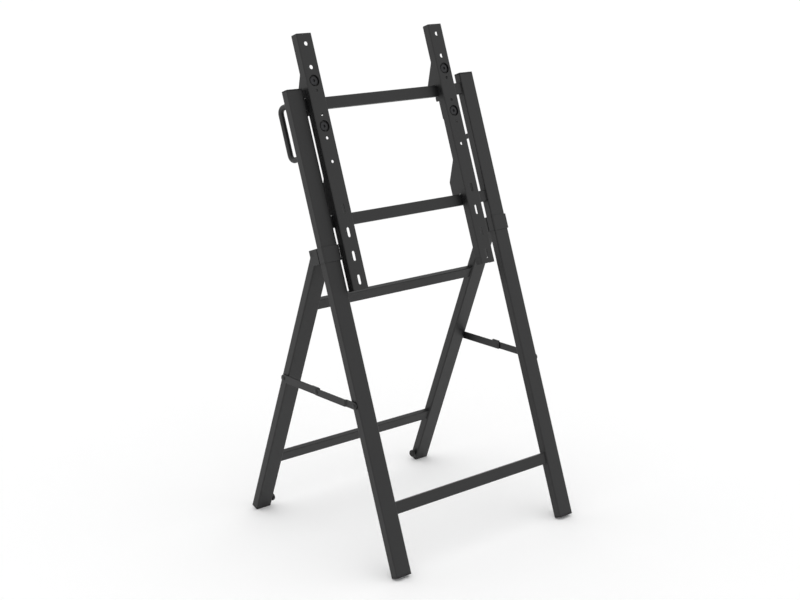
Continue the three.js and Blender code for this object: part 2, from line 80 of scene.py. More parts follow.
def look_from(azimuth, elevation):
    """Unit vector from the aim point towards a place to the front left, above the floor."""
    flat = math.cos(elevation)
    return Vector((-flat * math.sin(azimuth), -flat * math.cos(azimuth), math.sin(elevation)))


def make_camera():
    data = bpy.data.cameras.new("camera")
    data.lens = LENS
    data.sensor_width = 36.0
    camera = bpy.data.objects.new("camera", data)
    away = look_from(AZIMUTH, ELEVATION)
    camera.location = AIM + away * DISTANCE
    turn = away.to_track_quat("Z", "Y") @ Matrix.Rotation(-ROLL, 3, "Z").to_quaternion()
    camera.rotation_euler = turn.to_euler()
    bpy.context.scene.collection.objects.link(camera)
    bpy.context.scene.camera = camera


make_camera()

# ---------------------------------------------------------------- sizes, in millimetres
TUBE_WIDTH, TUBE_DEPTH, TUBE_CORNER, TUBE_WALL = 40.0, 20.0, 3.0, 1.5
RAIL_HEIGHT, RAIL_DEPTH, RAIL_CORNER = 25.0, 12.0, 1.8
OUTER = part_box("left_post")[0].x * -1 / MM  # half the width over the posts
POST_X = OUTER - TUBE_WIDTH / 2
INNER = OUTER - TUBE_WIDTH
POST_LENGTH = 1026.0
PLUG = 2.5
GAP = 0.3
SIDES = (("left", -1), ("right", 1))

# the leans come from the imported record: the arm's face and the fold's full turn
face_normal = frame["record"]["mounts"][0]["axis"]
FRONT_LEAN = math.atan2(face_normal[2], -face_normal[1])
fold = next(joint for joint in frame["joints"] if joint["name"] == "fold")
REAR_LEAN = math.radians(fold["range_deg"][1]) - FRONT_LEAN
FOLD_AT = Vector(fold["pos_m"]) / MM

# ---------------------------------------------------------------- places
half_spread = (CAD_BOX[1][1] - CAD_BOX[0][1]) / 2 / MM
FRONT_FOOT = -half_spread + TUBE_DEPTH * math.cos(FRONT_LEAN)
REAR_FOOT = half_spread - TUBE_DEPTH * math.cos(REAR_LEAN)

# x across, y back from the posts' back face, z up along the posts
IN_FRONT = Matrix.Translation((0, FRONT_FOOT, 0)) @ Matrix.Rotation(-FRONT_LEAN, 4, "X")
# x across, y back from the legs' front face, z up along the legs
IN_REAR = Matrix.Translation((0, REAR_FOOT, 0)) @ Matrix.Rotation(REAR_LEAN, 4, "X")

PIVOT_FRONT = IN_FRONT.inverted() @ FOLD_AT
PIVOT_REAR = IN_REAR.inverted() @ FOLD_AT


# ---------------------------------------------------------------- outlines
def ring_rect(width, depth, radius, steps=6):
    """A rounded rectangle's points about the origin, counter-clockwise."""
    points = []
    for quarter, (sx, sy) in enumerate(((1, 1), (-1, 1), (-1, -1), (1, -1))):
        cx, cy = sx * (width / 2 - radius), sy * (depth / 2 - radius)
        for step in range(steps + 1):
            angle = (quarter + step / steps) * math.pi / 2
            points.append((cx + radius * math.cos(angle), cy + radius * math.sin(angle)))
    return points


def ring_circle(radius, steps=48, x=0.0, y=0.0):
    turn = 2 * math.pi / steps
    return [(x + radius * math.cos(i * turn), y + radius * math.sin(i * turn)) for i in range(steps)]


def ring_slot(x, y, radius, length, steps=16):
    """A slot that is long in y."""
    points = []
    for sign, start in ((1, 0.0), (-1, math.pi)):
        cy = y + sign * (length / 2 - radius)
        for step in range(steps + 1):
            angle = start + math.pi * step / steps
            points.append((x + radius * math.cos(angle), cy + radius * math.sin(angle)))
    return points


def rounded(corners, degrees=9.0):
    """Points of a polygon whose corners, given as (x, y, radius), are rounded off."""
    points = []
    count = len(corners)
    for i, (x, y, radius) in enumerate(corners):
        here = Vector((x, y))
        before = Vector(corners[i - 1][:2]) - here
        after = Vector(corners[(i + 1) % count][:2]) - here
        if radius <= 0:
            points.append((x, y))
            continue
        before.normalize()
        after.normalize()
        half = before.angle(after) / 2
        tangent = radius / math.tan(half)
        centre = here + (before + after).normalized() * (radius / math.sin(half))
        start = here + before * tangent - centre
        sweep = math.pi - 2 * half
        turn = 1 if before.cross(after) < 0 else -1
        steps = max(2, math.ceil(math.degrees(sweep) / degrees))
        for step in range(steps + 1):
            spin = Matrix.Rotation(turn * sweep * step / steps, 2)
            points.append(tuple(centre + spin @ start))
    return points


# ---------------------------------------------------------------- meshes
def new_object(name, mesh):
    piece = bpy.data.objects.new(name, mesh)
    bpy.context.scene.collection.objects.link(piece)
    return piece


def settle(piece):
    """Applies a piece's modifiers to its mesh."""
    bpy.context.view_layer.update()
    graph = bpy.context.evaluated_depsgraph_get()
    mesh = bpy.data.meshes.new_from_object(piece.evaluated_get(graph), depsgraph=graph)
    piece.modifiers.clear()
    piece.data = mesh
    mesh.name = piece.name
    return piece


def loft(name, rings, closed=False):
    """A skin over rings of points; closed joins the last ring to the first, otherwise both are capped."""
    bm = bmesh.new()
    grid = [[bm.verts.new(point) for point in ring] for ring in rings]
    count = len(rings[0])
    pairs = list(zip(grid, grid[1:] + grid[:1])) if closed else list(zip(grid, grid[1:]))
    for low, high in pairs:
        for i in range(count):
            j = (i + 1) % count
            bm.faces.new((low[i], low[j], high[j], high[i]))
    if not closed:
        bm.faces.new(list(reversed(grid[0])))
        bm.faces.new(grid[-1])
    bmesh.ops.recalc_face_normals(bm, faces=bm.faces)
    mesh = bpy.data.meshes.new(name)
    bm.to_mesh(mesh)
    bm.free()
    return new_object(name, mesh)


def lathe(name, profile, steps=48):
    """A turned solid on the z axis from (radius, z) pairs that start and end on the axis."""
    bm = bmesh.new()
    rings = []
    for radius, z in profile:
        if radius < 1e-6:
            rings.append([bm.verts.new((0, 0, z))] * steps)
        else:
            circle = ring_circle(radius, steps)
            rings.append([bm.verts.new((x, y, z)) for x, y in circle])
    for low, high in zip(rings, rings[1:]):
        for i in range(steps):
            j = (i + 1) % steps
            corners = list(dict.fromkeys((low[i], low[j], high[j], high[i])))
            if len(corners) > 2:
                bm.faces.new(corners)
    bmesh.ops.recalc_face_normals(bm, faces=bm.faces)
    mesh = bpy.data.meshes.new(name)
    bm.to_mesh(mesh)
    bm.free()
    return new_object(name, mesh)


def pressed(name, outline, holes, thickness, edge=0.35):
    """A plate in the xy plane, centred on z = 0, with rounded rims all round it and in its holes."""
    curve = bpy.data.curves.new(name, "CURVE")
    curve.dimensions = "2D"
    curve.fill_mode = "BOTH"
    curve.extrude = thickness / 2 - edge
    curve.bevel_depth = edge
    curve.bevel_resolution = 2
    curve.offset = -edge
    for loop in [outline] + holes:
        spline = curve.splines.new("POLY")
        spline.points.add(len(loop) - 1)
        for point, (x, y) in zip(spline.points, loop):
            point.co = (x, y, 0, 1)
        spline.use_cyclic_u = True
    source = new_object(name + "_outline", curve)
    bpy.context.view_layer.update()
    graph = bpy.context.evaluated_depsgraph_get()
    mesh = bpy.data.meshes.new_from_object(source.evaluated_get(graph), depsgraph=graph)
    bpy.data.objects.remove(source)
    bpy.data.curves.remove(curve)
    bm = bmesh.new()
    bm.from_mesh(mesh)
    bmesh.ops.remove_doubles(bm, verts=bm.verts, dist=1e-4)
    bmesh.ops.recalc_face_normals(bm, faces=bm.faces)
    bm.to_mesh(mesh)
    bm.free()
    return new_object(name, mesh)


def slice_at(piece, axis, places):
    """Adds edge loops across a piece where it will bend."""
    normal = Vector((0, 0, 0))
    normal[axis] = 1
    bm = bmesh.new()
    bm.from_mesh(piece.data)
    for place in places:
        every = list(bm.verts) + list(bm.edges) + list(bm.faces)
        bmesh.ops.bisect_plane(bm, geom=every, plane_co=normal * place, plane_no=normal, dist=1e-5)
    bm.to_mesh(piece.data)
    bm.free()


def reshape(piece, move):
    """Moves each point of a piece by a function of its place."""
    for vertex in piece.data.vertices:
        vertex.co = move(vertex.co.copy())
    piece.data.update()


def turn_out(piece):
    bm = bmesh.new()
    bm.from_mesh(piece.data)
    bmesh.ops.recalc_face_normals(bm, faces=bm.faces)
    bm.to_mesh(piece.data)
    bm.free()


def carve(piece, tool, keep=False):
    """Cuts the tool out of the piece, or keeps only what lies inside the tool."""
    cutter = piece.modifiers.new("cut", "BOOLEAN")
    cutter.operation = "INTERSECT" if keep else "DIFFERENCE"
    cutter.solver = "EXACT"
    cutter.object = tool
    settle(piece)
    bpy.data.objects.remove(tool)
    return piece


def shade(piece, degrees=32.0):
    """Smooth curves, flat faces that stay flat, and sharp edges past the given angle."""
    mesh = piece.data
    mesh.polygons.foreach_set("use_smooth", [True] * len(mesh.polygons))
    mesh.set_sharp_from_angle(angle=math.radians(degrees))
    weighted = piece.modifiers.new("weighted", "WEIGHTED_NORMAL")
    weighted.keep_sharp = True
    weighted.weight = 80
    settle(piece)


def place(piece, matrix, material, body, slot, stands_for=(), degrees=32.0):
    """Puts a piece made in millimetres into the row's frame, finished and riding on its body."""
    piece.data.transform(Matrix.Scale(MM, 4) @ matrix)
    if matrix.determinant() < 0:
        piece.data.flip_normals()
    shade(piece, degrees)
    piece.data.materials.clear()
    piece.data.materials.append(material)
    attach(piece, body)
    if stands_for:
        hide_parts(*stands_for)
    return piece


# ---------------------------------------------------------------- finishes
def colour(hex_code):
    """Linear RGBA from an sRGB hex value such as "3c3c3e"."""
    channels = [int(hex_code[i:i + 2], 16) / 255 for i in (0, 2, 4)]
    linear = [c / 12.92 if c <= 0.04045 else ((c + 0.055) / 1.055) ** 2.4 for c in channels]
    return (*linear, 1.0)


def add_node(tree, kind, settings=None, links=None):
    """Adds a node; settings go to its own values or its sockets, links join (node, output) to inputs."""
    node = tree.nodes.new(kind)
    for key, value in (settings or {}).items():
        if isinstance(key, str) and hasattr(node, key):
            setattr(node, key, value)
        else:
            node.inputs[key].default_value = value
    for key, (source, output) in (links or {}).items():
        tree.links.new(source.outputs[output], node.inputs[key])
    return node


def start_material(name):
    material = bpy.data.materials.new(name)
    material.use_nodes = True
    tree = material.node_tree
    tree.nodes.clear()
    where = add_node(tree, "ShaderNodeTexCoord")
    return material, tree, where


def per_metre(size_mm):
    """A texture scale that gives a pattern of this size on an object measured in metres."""
    return 1000.0 / size_mm


def powder_coat():
    """Black polyester powder coat on steel: sprayed dry and baked, so it is a thick, even skin.

    The eye gets a near-black body under a broad soft sheen, broken by a fine melted-grain texture
    and a shallow orange peel, a little glossier where the powder flowed out and duller between.
    """
    material, tree, where = start_material("black_powder_coat")
    spot = {"Vector": (where, "Object")}
    # powder grain is about 0.15 mm; drawn at 0.6 mm so that it shows
    grain = add_node(
        tree, "ShaderNodeTexNoise", {"Scale": per_metre(0.6), "Detail": 3.0, "Roughness": 0.6}, spot,
    )
    # orange peel: waves 3 mm across
    peel = add_node(tree, "ShaderNodeTexNoise", {"Scale": per_metre(3.0), "Detail": 1.0}, spot)
    # film thickness drifts over a hand's width
    drift = add_node(tree, "ShaderNodeTexNoise", {"Scale": per_metre(90.0), "Detail": 2.0}, spot)
    tint = add_node(tree, "ShaderNodeValToRGB", links={"Fac": (drift, "Fac")})
    tint.color_ramp.elements[0].position = 0.35
    tint.color_ramp.elements[0].color = colour("060607")
    tint.color_ramp.elements[1].position = 0.65
    tint.color_ramp.elements[1].color = colour("0a0a0b")
    gloss = add_node(
        tree, "ShaderNodeMapRange", {"To Min": 0.40, "To Max": 0.54}, {"Value": (grain, "Fac")},
    )
    coarse = add_node(
        tree, "ShaderNodeBump", {"Strength": 0.25, "Distance": 0.00006}, {"Height": (peel, "Fac")},
    )
    fine = add_node(
        tree, "ShaderNodeBump", {"Strength": 0.35, "Distance": 0.00003},
        {"Height": (grain, "Fac"), "Normal": (coarse, "Normal")},
    )
    surface = add_node(
        tree, "ShaderNodeBsdfPrincipled", {"IOR": 1.5, "Metallic": 0.0},
        {"Base Color": (tint, "Color"), "Roughness": (gloss, "Result"), "Normal": (fine, "Normal")},
    )
    add_node(tree, "ShaderNodeOutputMaterial", links={"Surface": (surface, "BSDF")})
    return material


def black_zinc():
    """Zinc-plated steel with a black passivation: a thin dark skin, so the metal's own gloss shows."""
    material, tree, where = start_material("black_zinc_plate")
    spot = {"Vector": (where, "Object")}
    cloud = add_node(tree, "ShaderNodeTexNoise", {"Scale": per_metre(4.0), "Detail": 3.0}, spot)
    tint = add_node(tree, "ShaderNodeValToRGB", links={"Fac": (cloud, "Fac")})
    tint.color_ramp.elements[0].position = 0.3
    tint.color_ramp.elements[0].color = colour("303032")
    tint.color_ramp.elements[1].position = 0.7
    tint.color_ramp.elements[1].color = colour("3a3a3b")
    gloss = add_node(
        tree, "ShaderNodeMapRange", {"To Min": 0.30, "To Max": 0.45}, {"Value": (cloud, "Fac")},
    )
    # turning marks about 0.2 mm apart, drawn at 0.5 mm
    marks = add_node(tree, "ShaderNodeTexNoise", {"Scale": per_metre(0.5), "Detail": 2.0}, spot)
    bump = add_node(
        tree, "ShaderNodeBump", {"Strength": 0.2, "Distance": 0.00002}, {"Height": (marks, "Fac")},
    )
    surface = add_node(
        tree, "ShaderNodeBsdfPrincipled", {"Metallic": 0.85},
        {"Base Color": (tint, "Color"), "Roughness": (gloss, "Result"), "Normal": (bump, "Normal")},
    )
    add_node(tree, "ShaderNodeOutputMaterial", links={"Surface": (surface, "BSDF")})
    return material


def moulded_polyethylene():
    """Injection-moulded polyethylene: a soft, slightly waxy black with the mould's spark-eroded grain."""
    material, tree, where = start_material("moulded_polyethylene")
    spot = {"Vector": (where, "Object")}
    # spark erosion leaves pits about 0.1 mm wide, drawn at 0.4 mm
    pits = add_node(tree, "ShaderNodeTexVoronoi", {"Scale": per_metre(0.4)}, spot)
    cloud = add_node(tree, "ShaderNodeTexNoise", {"Scale": per_metre(9.0), "Detail": 2.0}, spot)
    tint = add_node(tree, "ShaderNodeValToRGB", links={"Fac": (cloud, "Fac")})
    tint.color_ramp.elements[0].color = colour("0c0c0d")
    tint.color_ramp.elements[1].color = colour("121213")
    gloss = add_node(
        tree, "ShaderNodeMapRange", {"To Min": 0.52, "To Max": 0.66}, {"Value": (cloud, "Fac")},
    )
    bump = add_node(
        tree, "ShaderNodeBump", {"Strength": 0.3, "Distance": 0.00003}, {"Height": (pits, "Distance")},
    )
    surface = add_node(
        tree, "ShaderNodeBsdfPrincipled", {"IOR": 1.51, "Metallic": 0.0},
        {"Base Color": (tint, "Color"), "Roughness": (gloss, "Result"), "Normal": (bump, "Normal")},
    )
    add_node(tree, "ShaderNodeOutputMaterial", links={"Surface": (surface, "BSDF")})
    return material


def rubber():
    """Moulded nitrile rubber: carbon black, dull, with a faint bloom that greys it in patches."""
    material, tree, where = start_material("moulded_rubber")
    spot = {"Vector": (where, "Object")}
    bloom = add_node(tree, "ShaderNodeTexNoise", {"Scale": per_metre(6.0), "Detail": 4.0}, spot)
    tint = add_node(tree, "ShaderNodeValToRGB", links={"Fac": (bloom, "Fac")})
    tint.color_ramp.elements[0].position = 0.4
    tint.color_ramp.elements[0].color = colour("0d0d0d")
    tint.color_ramp.elements[1].position = 0.75
    tint.color_ramp.elements[1].color = colour("181817")
    skin = add_node(tree, "ShaderNodeTexNoise", {"Scale": per_metre(0.8), "Detail": 3.0}, spot)
    bump = add_node(
        tree, "ShaderNodeBump", {"Strength": 0.3, "Distance": 0.00004}, {"Height": (skin, "Fac")},
    )
    surface = add_node(
        tree, "ShaderNodeBsdfPrincipled", {"IOR": 1.52, "Metallic": 0.0, "Roughness": 0.72},
        {"Base Color": (tint, "Color"), "Normal": (bump, "Normal")},
    )
    add_node(tree, "ShaderNodeOutputMaterial", links={"Surface": (surface, "BSDF")})
    return material


def studio_paper():
    """Matte white background paper: even, with the slightest tooth."""
    material, tree, where = start_material("studio_paper")
    tooth = add_node(tree, "ShaderNodeTexNoise", {"Scale": per_metre(2.0)}, {"Vector": (where, "Object")})
    bump = add_node(
        tree, "ShaderNodeBump", {"Strength": 0.05, "Distance": 0.00005}, {"Height": (tooth, "Fac")},
    )
    surface = add_node(
        tree, "ShaderNodeBsdfPrincipled", {"Base Color": colour("fdfdfd"), "Roughness": 0.9},
        {"Normal": (bump, "Normal")},
    )
    add_node(tree, "ShaderNodeOutputMaterial", links={"Surface": (surface, "BSDF")})
    return material


COAT = powder_coat()
ZINC = black_zinc()
PLASTIC = moulded_polyethylene()
RUBBER = rubber()


def coated(piece, matrix, body, stands_for=(), degrees=32.0):
    return place(piece, matrix, COAT, body, "powder_coat", stands_for, degrees)


# ---------------------------------------------------------------- tubes and plugs
def hollow(name, width, depth, corner, low, high, edge=0.4):
    """An open-ended tube of even wall along z, with its cut ends dressed."""
    outer = ring_rect(width, depth, corner)
    dressed = ring_rect(width - 2 * edge, depth - 2 * edge, corner - edge)
    wall = 2 * TUBE_WALL
    inner = ring_rect(width - wall, depth - wall, max(corner - TUBE_WALL, 0.5))
    levels = [
        (outer, low + edge), (outer, high - edge), (dressed, high),
        (inner, high), (inner, low), (dressed, low),
    ]
    rings = [[(x, y, z) for x, y in ring] for ring, z in levels]
    return loft(name, rings, closed=True)


def plug(name, x, y, end, direction):
    """A plug's head: as wide as the tube, with a soft rim and a faintly crowned face."""
    rim = 0.9
    start = end - direction * PLUG
    levels = [(0.25, start), (0.0, start + direction * 0.3), (0.0, end - direction * rim)]
    for step in range(1, 5):
        angle = step / 4 * math.pi / 2
        levels.append((rim * (1 - math.cos(angle)), end - direction * rim * (1 - math.sin(angle))))
    rings = []
    for inset, z in levels:
        ring = ring_rect(TUBE_WIDTH - 2 * inset, TUBE_DEPTH - 2 * inset, max(TUBE_CORNER - inset, 0.4))
        rings.append([(x + px, y + py, z) for px, py in ring])
    return loft(name, rings)


def make_posts():
    middle = -TUBE_DEPTH / 2
    for side, sign in SIDES:
        x = sign * POST_X
        shift = Matrix.Translation((x, middle, 0))
        tube = hollow(
            side + "_post_tube", TUBE_WIDTH, TUBE_DEPTH, TUBE_CORNER, PLUG + GAP, POST_LENGTH - PLUG - GAP,
        )
        coated(tube, IN_FRONT @ shift, "front_frame", [side + "_post"])
        top = plug(side + "_post_top_plug", x, middle, POST_LENGTH, 1)
        place(top, IN_FRONT, PLASTIC, "front_frame", "moulded_plastic", [side + "_post_cap"])
        foot = plug(side + "_post_foot_plug", x, middle, 0, -1)
        place(foot, IN_FRONT, PLASTIC, "front_frame", "moulded_plastic", [side + "_post_foot"])


ALONG_X = Matrix(((0, 0, 1, 0), (1, 0, 0, 0), (0, 1, 0, 0), (0, 0, 0, 1)))  # x, y, z from y, z, x


def height_on(matrix, node):
    """How far up a post or leg the middle of a cross tube sits."""
    low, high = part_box(node)
    return (matrix.inverted() @ ((low + high) / 2 / MM)).z


def weld_round(name, outline, bead=1.2, pitch=1.5):
    """A fillet of overlapping weld ripples along a closed outline in the xy plane."""
    loop = [Vector((x, y, 0)) for x, y in outline]
    lengths = [(b - a).length for a, b in zip(loop, loop[1:] + loop[:1])]
    total = sum(lengths)
    ripples = max(8, round(total / pitch))
    steps = ripples * 4
    rings = []
    for step in range(steps):
        travel = total * step / steps
        walked = 0.0
        for i, length in enumerate(lengths):
            if travel < walked + length or i == len(lengths) - 1:
                break
            walked += length
        here = loop[i].lerp(loop[(i + 1) % len(loop)], (travel - walked) / max(length, 1e-9))
        ahead = (loop[(i + 1) % len(loop)] - loop[i]).normalized()
        out = Vector((ahead.y, -ahead.x, 0))
        phase = (step % 4) / 4
        wander = 0.06 * math.sin(step * 1.7) + 0.05 * math.sin(step * 0.41 + 1.0)
        size = bead * (0.90 + 0.14 * math.sin(math.pi * phase) + wander)
        ring = []
        for corner in range(10):
            angle = 2 * math.pi * corner / 10
            offset = out * (size * math.cos(angle)) + Vector((0, 0, size * math.sin(angle)))
            ring.append(tuple(here + offset))
        rings.append(ring)
    return loft(name, rings, closed=True)


def make_cross_tube(node, matrix, middle, body):
    """A flat cross tube between two posts or legs, with a weld bead round each end."""
    height = height_on(matrix, node)
    reach = INNER - GAP
    tube = hollow(node + "_tube", RAIL_DEPTH, RAIL_HEIGHT, RAIL_CORNER, -reach, reach, 0.15)
    at = Matrix.Translation((0, middle, height)) @ ALONG_X
    coated(tube, matrix @ at, body, [node])
    for side, sign in SIDES:
        bead = weld_round(f"{node}_{side}_weld", ring_rect(RAIL_DEPTH, RAIL_HEIGHT, RAIL_CORNER, 4))
        spot = Matrix.Translation((sign * INNER, middle, height)) @ ALONG_X
        coated(bead, matrix @ spot, body, degrees=60)


def make_rails():
    for node in ("top_rail", "middle_rail", "bottom_rail"):
        make_cross_tube(node, IN_FRONT, -TUBE_DEPTH / 2, "front_frame")
    for node in ("rear_top_bar", "rear_bottom_bar"):
        make_cross_tube(node, IN_REAR, TUBE_DEPTH / 2, "rear_frame")


# ---------------------------------------------------------------- hinges
COLLAR_LOW, COLLAR_HIGH, COLLAR_STRAP, COLLAR_END = 662.5, 695.5, 2.0, -3.0
CHEEK, WEB, CHEEK_FRONT, CHEEK_BACK = 2.5, 2.0, -1.8, 25.0
PIN_RADIUS = 4.0


def make_collar(side, x):
    """A strap bent round the front and sides of the post."""
    inner = TUBE_WIDTH / 2 + GAP
    outer = inner + COLLAR_STRAP
    front = -TUBE_DEPTH - GAP
    skin = front - COLLAR_STRAP
    end = COLLAR_END
    outline = rounded([
        (x - outer, end, 0.5), (x - outer, skin, 4.2), (x + outer, skin, 4.2), (x + outer, end, 0.5),
        (x + inner, end, 0.5), (x + inner, front, 2.4), (x - inner, front, 2.4), (x - inner, end, 0.5),
    ])
    piece = pressed(side + "_collar_strap", outline, [], COLLAR_HIGH - COLLAR_LOW, 0.3)
    middle = Matrix.Translation((0, 0, (COLLAR_LOW + COLLAR_HIGH) / 2))
    coated(piece, IN_FRONT @ middle, "front_frame", [side + "_collar"])


def make_clevis(side, x):
    """The bracket behind the post: a web on its back and a cheek on each side of the leg."""
    inner = TUBE_WIDTH / 2 + GAP
    outer = inner + CHEEK
    outline = rounded([
        (x - outer, CHEEK_FRONT, 0.5), (x - inner, CHEEK_FRONT, 0.5), (x - inner, GAP, 0),
        (x + inner, GAP, 0), (x + inner, CHEEK_FRONT, 0.5), (x + outer, CHEEK_FRONT, 0.5),
        (x + outer, CHEEK_BACK, 0.6), (x + inner, CHEEK_BACK, 0.6), (x + inner, GAP + WEB, 1.2),
        (x - inner, GAP + WEB, 1.2), (x - inner, CHEEK_BACK, 0.6), (x - outer, CHEEK_BACK, 0.6),
    ])
    piece = pressed(side + "_clevis_bracket", outline, [], COLLAR_HIGH - COLLAR_LOW, 0.3)
    piece.data.transform(Matrix.Translation((0, 0, (COLLAR_LOW + COLLAR_HIGH) / 2)))
    drill = lathe("drill", [(0, -40), (PIN_RADIUS + 0.15, -40), (PIN_RADIUS + 0.15, 40), (0, 40)])
    across = Matrix.Translation((x, PIVOT_FRONT.y, PIVOT_FRONT.z)) @ ALONG_X
    drill.data.transform(across)
    carve(piece, drill)
    coated(piece, IN_FRONT, "front_frame", [side + "_clevis"])
    end = outer - 0.15
    profile = [
        (0, -end), (PIN_RADIUS - 0.5, -end), (PIN_RADIUS, -end + 0.5),
        (PIN_RADIUS, end - 0.5), (PIN_RADIUS - 0.5, end), (0, end),
    ]
    pin = lathe(side + "_pivot_pin_turned", profile)
    coated_pin = IN_FRONT @ across
    place(pin, coated_pin, COAT, "front_frame", "black_zinc", [side + "_pivot_pin"])


# ---------------------------------------------------------------- handles
ROD, GRIP_BACK, GRIP_TOP, GRIP_LENGTH, GRIP_BEND = 6.0, 44.2, 999.0, 112.0, 13.0


def make_handle(side, x):
    """A rod bent into a staple, welded to the back of the post."""
    low = GRIP_TOP - GRIP_LENGTH
    straight = GRIP_BACK - GRIP_BEND
    path = [(-0.1, GRIP_TOP, 0.0), (straight * 0.5, GRIP_TOP, 0.0)]
    for step in range(13):
        angle = step / 12 * math.pi / 2
        y = straight + GRIP_BEND * math.sin(angle)
        path.append((y, GRIP_TOP - GRIP_BEND + GRIP_BEND * math.cos(angle), angle))
    for step in range(13):
        angle = (1 + step / 12) * math.pi / 2
        y = straight + GRIP_BEND * math.sin(angle)
        path.append((y, low + GRIP_BEND + GRIP_BEND * math.cos(angle), angle))
    path += [(straight * 0.5, low, math.pi), (-0.1, low, math.pi)]
    rings = []
    for y, z, angle in path:
        ring = []
        for px, pn in ring_circle(ROD, 32):
            ring.append((x + px, y + pn * math.sin(angle), z + pn * math.cos(angle)))
        rings.append(ring)
    rod = loft(side + "_handle_rod", rings)
    coated(rod, IN_FRONT, "front_frame", [side + "_handle"], degrees=50)
    onto_back = Matrix(((1, 0, 0, 0), (0, 0, -1, 0), (0, 1, 0, 0), (0, 0, 0, 1)))
    for name, z in (("upper", GRIP_TOP), ("lower", low)):
        bead = weld_round(f"{side}_handle_{name}_weld", ring_circle(ROD, 40), 1.5)
        at = Matrix.Translation((x, 0.2, z)) @ onto_back
        coated(bead, IN_FRONT @ at, "front_frame", degrees=60)


def make_hinges_and_handles():
    for side, sign in SIDES:
        make_collar(side, sign * POST_X)
        make_clevis(side, sign * POST_X)
        make_handle(side, sign * POST_X)


# ---------------------------------------------------------------- arms
ARM_HALF, ARM_FACE, ARM_DEPTH, SHEET, BEND_OUT = 19.5, 35.0, 18.7, 1.8, 2.5
ARM_LOW, ARM_HIGH, HOLE_TOP, PITCH = 593.5, 1137.0, 1115.0, 50.0
WING_REACH, WING_TAPER, PAST_MIDDLE = 27.2, 46.0, 6.5  # each flange hooks over the rails
WING_TOPS = {"middle_rail": 833.8, "top_rail": 1054.7}
LIP_HEIGHT, LIP_REACH = 10.5, 10.8  # and has a lip under the top rail
RAIL_SLACK = 0.5
ROUND_HOLES = {0: 4.5, 1: 4.5, 2: 3.25, 3: 3.25, 4: 3.25, 5: 3.25}
SLOT_STEPS, SLOT_RADIUS, SLOT_LENGTH = (7, 8, 9, 10), 3.5, 21.0
CUP_BORE, CUP_WALL, CUP_BASE, CUP_FLOOR, CUP_HOLE = 12.2, 1.3, 28.2, 1.8, 4.3
CUP_HEIGHTS = {"upper": 1036.5, "lower": 940.0}
SCREW_HEAD, SCREW_RISE, SCREW_SHANK, SCREW_TIP = 9.5, 3.2, 3.7, 1.6
HEXAGON, SOCKET_DEPTH = 3.4, 2.4
BAR_WIDTH, BAR_LENGTH, BAR_CORNER, BAR_THICK, BAR_HOLE = 14.0, 122.0, 4.0, 3.0, 4.0

FLAT = ARM_HALF - BEND_OUT  # half width of the flat face
BEND_MID = BEND_OUT - SHEET / 2
BEND_ARC = BEND_MID * math.pi / 2
FLANGE_AT_ZERO = FLAT + BEND_ARC + ARM_FACE - BEND_OUT  # unfolded place of the flange where y is 0


def fold_channel(point):
    """From the flat blank (across, up, thickness) to the folded channel (x, y, z)."""
    across, up, out = point
    side = -1 if across < 0 else 1
    run = abs(across) - FLAT
    hub = -ARM_FACE + BEND_OUT
    if run <= 0:
        return Vector((across, -ARM_FACE + SHEET / 2 - out, up))
    if run < BEND_ARC:
        angle = run / BEND_MID
        reach = BEND_MID + out
        return Vector((side * (FLAT + reach * math.sin(angle)), hub - reach * math.cos(angle), up))
    return Vector((side * (FLAT + BEND_MID + out), hub + run - BEND_ARC, up))


def arm_blank():
    """The arm's outline before folding: a strip with hooks and lips on each long side."""
    edge = FLANGE_AT_ZERO - ARM_FACE + ARM_DEPTH
    tip = edge + WING_REACH
    slot = FLANGE_AT_ZERO - TUBE_DEPTH / 2 + RAIL_DEPTH / 2 + RAIL_SLACK
    right = [(edge, ARM_LOW, 2.0)]
    for rail, top in WING_TOPS.items():
        middle = height_on(IN_FRONT, rail)
        above = middle + RAIL_HEIGHT / 2 + RAIL_SLACK
        under = middle - RAIL_HEIGHT / 2 - RAIL_SLACK
        if rail == "top_rail":
            right += [
                (edge, under - LIP_HEIGHT, 2.0), (edge + LIP_REACH, under - LIP_HEIGHT, 3.0),
                (edge + LIP_REACH, under, 1.5), (edge, under, 0.8),
            ]
        right += [
            (edge, above, 0.8), (slot, above, 1.2), (slot, middle - PAST_MIDDLE, 2.0),
            (tip, middle - PAST_MIDDLE, 4.0), (tip, top - WING_TAPER, 6.0), (edge, top, 6.0),
        ]
    right.append((edge, ARM_HIGH, 2.0))
    left = [(-x, z, radius) for x, z, radius in reversed(right)]
    return rounded(right + left)


def arm_openings():
    loops = []
    for step, radius in ROUND_HOLES.items():
        loops.append(ring_circle(radius, 36, 0, HOLE_TOP - step * PITCH))
    for step in SLOT_STEPS:
        loops.append(ring_slot(0, HOLE_TOP - step * PITCH, SLOT_RADIUS, SLOT_LENGTH))
    for height in CUP_HEIGHTS.values():
        loops.append(ring_circle(CUP_BORE, 56, 0, height))
    return loops


def make_arm(side):
    """Folded from one sheet: face, two flanges, and the hooks that carry the arm on the rails."""
    x = (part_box(side + "_arm")[0].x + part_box(side + "_arm")[1].x) / 2 / MM
    body = side + "_arm_set"
    sheet = pressed(side + "_arm_channel", arm_blank(), arm_openings(), SHEET, 0.3)
    bends = [sign * (FLAT + BEND_ARC * step / 6) for sign in (-1, 1) for step in range(7)]
    slice_at(sheet, 0, bends)
    reshape(sheet, fold_channel)
    turn_out(sheet)
    at = Matrix.Translation((x, 0, 0))
    coated(sheet, IN_FRONT @ at, body, [side + "_arm"])
    for name, height in CUP_HEIGHTS.items():
        make_cup(side, name, x, height, body)
        make_clamp_screw(side, name, x, height, body)
    make_clamp_bar(side, x, body)


